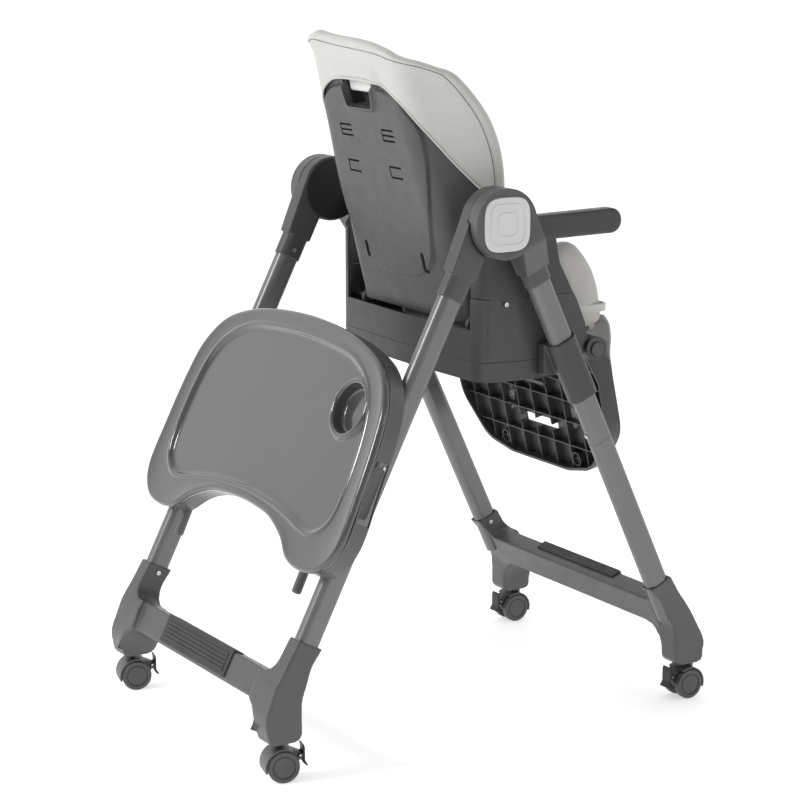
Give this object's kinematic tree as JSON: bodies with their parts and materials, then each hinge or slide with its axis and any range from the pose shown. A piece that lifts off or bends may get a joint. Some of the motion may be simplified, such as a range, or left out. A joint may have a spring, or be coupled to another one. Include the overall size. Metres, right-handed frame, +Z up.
{
  "type": "baby high chair",
  "caption": "Folding baby high chair on an A-frame with castors, reclining padded seat that slides up and down the legs, hinged legrest and a tray hung on the rear legs.",
  "frame": {"origin": "on the floor under the middle of the chair, midway between its front and rear wheels", "axes": "+Z up; the child faces -Y; +X is the child's left"},
  "size_m": [0.6324, 0.806, 1.0558],
  "materials": {
    "hub_plastic": "fine satin grain",
    "seat_plastic": "fine satin grain",
    "base_plastic": "fine satin grain",
    "shell_plastic": "fine satin grain",
    "tube_paint": "satin grey powder coat",
    "tray_plastic": "polished",
    "tray_base_plastic": "satin",
    "button_plastic": "smooth satin",
    "cover_leatherette": "fine-grain leatherette",
    "pad_leatherette": "fine-grain leatherette",
    "webbing": "woven",
    "black_plastic": "fine texture",
    "wheel_plastic": "satin",
    "steel": "bright plated",
    "tread_rubber": "moulded soft-touch ribs"
  },
  "bodies": {
    "front_frame": {"front_hub_left": "hub_plastic", "front_hub_right": "hub_plastic", "front_tube_left": "tube_paint", "front_tube_right": "tube_paint", "front_base": "base_plastic", "front_tread": "tread_rubber", "front_fasteners": "steel", "hub_bolts": "steel"},
    "rear_frame": {"rear_hub_left": "hub_plastic", "rear_hub_right": "hub_plastic", "rear_tube_left": "tube_paint", "rear_tube_right": "tube_paint", "rear_base": "base_plastic", "rear_tread": "tread_rubber", "rear_fasteners": "steel", "hub_inner_covers": "black_plastic"},
    "fold_button_left": {"fold_button_left": "button_plastic"},
    "fold_button_right": {"fold_button_right": "button_plastic"},
    "seat": {"seat_band": "seat_plastic", "seat_housing": "seat_plastic", "seat_pivot_pins": "steel", "seat_screws": "steel", "armrest_left": "seat_plastic", "armrest_right": "seat_plastic", "height_sleeve_left": "seat_plastic", "height_sleeve_right": "seat_plastic", "seat_pad": "pad_leatherette", "lap_harness": "webbing", "harness_buckle": "black_plastic"},
    "buckle_button": {"buckle_button": "button_plastic"},
    "backrest": {"backrest_shell": "shell_plastic", "backrest_pad": "pad_leatherette", "backrest_cover": "cover_leatherette", "shoulder_straps": "webbing"},
    "recline_lever": {"recline_lever": "button_plastic"},
    "legrest": {"legrest_shell": "seat_plastic", "legrest_pad": "pad_leatherette"},
    "footplate": {"footplate": "seat_plastic"},
    "legrest_button_left": {"legrest_button_left": "hub_plastic"},
    "legrest_button_right": {"legrest_button_right": "hub_plastic"},
    "tray": {"tray_base": "tray_base_plastic"},
    "tray_insert": {"tray_insert": "tray_plastic"},
    "tray_lever_left": {"tray_lever_left": "hub_plastic"},
    "tray_lever_right": {"tray_lever_right": "hub_plastic"},
    "castor_rear_left": {"castor_rear_left_housing": "hub_plastic", "castor_rear_left_pins": "steel"},
    "castor_rear_left_wheels": {"castor_rear_left_wheels": "wheel_plastic"},
    "castor_rear_left_brake": {"castor_rear_left_brake": "black_plastic"},
    "castor_rear_right": {"castor_rear_right_housing": "hub_plastic", "castor_rear_right_pins": "steel"},
    "castor_rear_right_wheels": {"castor_rear_right_wheels": "wheel_plastic"},
    "castor_rear_right_brake": {"castor_rear_right_brake": "black_plastic"},
    "castor_front_left": {"castor_front_left_housing": "hub_plastic", "castor_front_left_pins": "steel"},
    "castor_front_left_wheels": {"castor_front_left_wheels": "wheel_plastic"},
    "castor_front_left_brake": {"castor_front_left_brake": "black_plastic"},
    "castor_front_right": {"castor_front_right_housing": "hub_plastic", "castor_front_right_pins": "steel"},
    "castor_front_right_wheels": {"castor_front_right_wheels": "wheel_plastic"},
    "castor_front_right_brake": {"castor_front_right_brake": "black_plastic"}
  },
  "joints": [
    {"name": "fold", "type": "hinge", "parent": "front_frame", "child": "rear_frame", "pos_m": [0, -0.006, 0.795], "axis": [-1, 0, 0], "range_deg": [0, 29]},
    {"name": "fold_button_left_press", "type": "slide", "parent": "front_frame", "child": "fold_button_left", "axis": [-1, 0, 0], "range_m": [0, 0.005], "stiffness_N_per_m": 600},
    {"name": "fold_button_right_press", "type": "slide", "parent": "front_frame", "child": "fold_button_right", "axis": [1, 0, 0], "range_m": [0, 0.005], "stiffness_N_per_m": 600},
    {"name": "seat_height", "type": "slide", "parent": "front_frame", "child": "seat", "axis": [0, 0.4221, 0.9065], "range_m": [-0.055, 0.095]},
    {"name": "buckle_button_press", "type": "slide", "parent": "seat", "child": "buckle_button", "axis": [0, 1, 0], "range_m": [0, 0.004], "stiffness_N_per_m": 400},
    {"name": "recline", "type": "hinge", "parent": "seat", "child": "backrest", "pos_m": [0, -0.03, 0.625], "axis": [-1, 0, 0], "range_deg": [0, 30]},
    {"name": "recline_lever_squeeze", "type": "slide", "parent": "backrest", "child": "recline_lever", "axis": [0, 0.2504, 0.9681], "range_m": [0, 0.008], "stiffness_N_per_m": 400},
    {"name": "legrest_lift", "type": "hinge", "parent": "seat", "child": "legrest", "pos_m": [0, -0.2107, 0.581], "axis": [-1, 0, 0], "range_deg": [0, 70]},
    {"name": "footplate_pull", "type": "slide", "parent": "legrest", "child": "footplate", "axis": [0, -0.9781, 0.2079], "range_m": [0, 0.03]},
    {"name": "legrest_button_left_press", "type": "slide", "parent": "legrest", "child": "legrest_button_left", "axis": [-1, 0, 0], "range_m": [0, 0.004], "stiffness_N_per_m": 400},
    {"name": "legrest_button_right_press", "type": "slide", "parent": "legrest", "child": "legrest_button_right", "axis": [1, 0, 0], "range_m": [0, 0.004], "stiffness_N_per_m": 400},
    {"name": "tray_lift_off", "type": "slide", "parent": "rear_frame", "child": "tray", "axis": [0, 0.9063, 0.4226], "range_m": [0, 0.1]},
    {"name": "tray_insert_lift", "type": "slide", "parent": "tray", "child": "tray_insert", "axis": [0, 0.9063, 0.4226], "range_m": [0, 0.06]},
    {"name": "tray_lever_left_press", "type": "slide", "parent": "tray", "child": "tray_lever_left", "axis": [-1, 0, 0], "range_m": [0, 0.005], "stiffness_N_per_m": 400},
    {"name": "tray_lever_right_press", "type": "slide", "parent": "tray", "child": "tray_lever_right", "axis": [1, 0, 0], "range_m": [0, 0.005], "stiffness_N_per_m": 400},
    {"name": "castor_rear_left_swivel", "type": "hinge", "parent": "rear_frame", "child": "castor_rear_left", "pos_m": [0.25, 0.372, 0.05], "axis": [0, 0, 1], "continuous": true},
    {"name": "castor_rear_left_roll", "type": "hinge", "parent": "castor_rear_left", "child": "castor_rear_left_wheels", "pos_m": [0.24782, 0.36327, 0.024], "axis": [0.9703, -0.2419, 0], "continuous": true},
    {"name": "castor_rear_left_brake_press", "type": "hinge", "parent": "castor_rear_left", "child": "castor_rear_left_brake", "pos_m": [0.24129, 0.33707, 0.037], "axis": [0.9703, -0.2419, 0], "range_deg": [0, 8]},
    {"name": "castor_rear_right_swivel", "type": "hinge", "parent": "rear_frame", "child": "castor_rear_right", "pos_m": [-0.25, 0.372, 0.05], "axis": [0, 0, 1], "continuous": true},
    {"name": "castor_rear_right_roll", "type": "hinge", "parent": "castor_rear_right", "child": "castor_rear_right_wheels", "pos_m": [-0.25218, 0.36327, 0.024], "axis": [0.9703, -0.2419, 0], "continuous": true},
    {"name": "castor_rear_right_brake_press", "type": "hinge", "parent": "castor_rear_right", "child": "castor_rear_right_brake", "pos_m": [-0.25871, 0.33707, 0.037], "axis": [0.9703, -0.2419, 0], "range_deg": [0, 8]},
    {"name": "castor_front_left_swivel", "type": "hinge", "parent": "front_frame", "child": "castor_front_left", "pos_m": [0.25, -0.384, 0.05], "axis": [0, 0, 1], "continuous": true},
    {"name": "castor_front_left_roll", "type": "hinge", "parent": "castor_front_left", "child": "castor_front_left_wheels", "pos_m": [0.25, -0.375, 0.024], "axis": [-1, 0, 0], "continuous": true},
    {"name": "castor_front_left_brake_press", "type": "hinge", "parent": "castor_front_left", "child": "castor_front_left_brake", "pos_m": [0.25, -0.348, 0.037], "axis": [-1, 0, 0], "range_deg": [0, 8]},
    {"name": "castor_front_right_swivel", "type": "hinge", "parent": "front_frame", "child": "castor_front_right", "pos_m": [-0.25, -0.384, 0.05], "axis": [0, 0, 1], "continuous": true},
    {"name": "castor_front_right_roll", "type": "hinge", "parent": "castor_front_right", "child": "castor_front_right_wheels", "pos_m": [-0.25, -0.375, 0.024], "axis": [-1, 0, 0], "continuous": true},
    {"name": "castor_front_right_brake_press", "type": "hinge", "parent": "castor_front_right", "child": "castor_front_right_brake", "pos_m": [-0.25, -0.348, 0.037], "axis": [-1, 0, 0], "range_deg": [0, 8]}
  ]
}
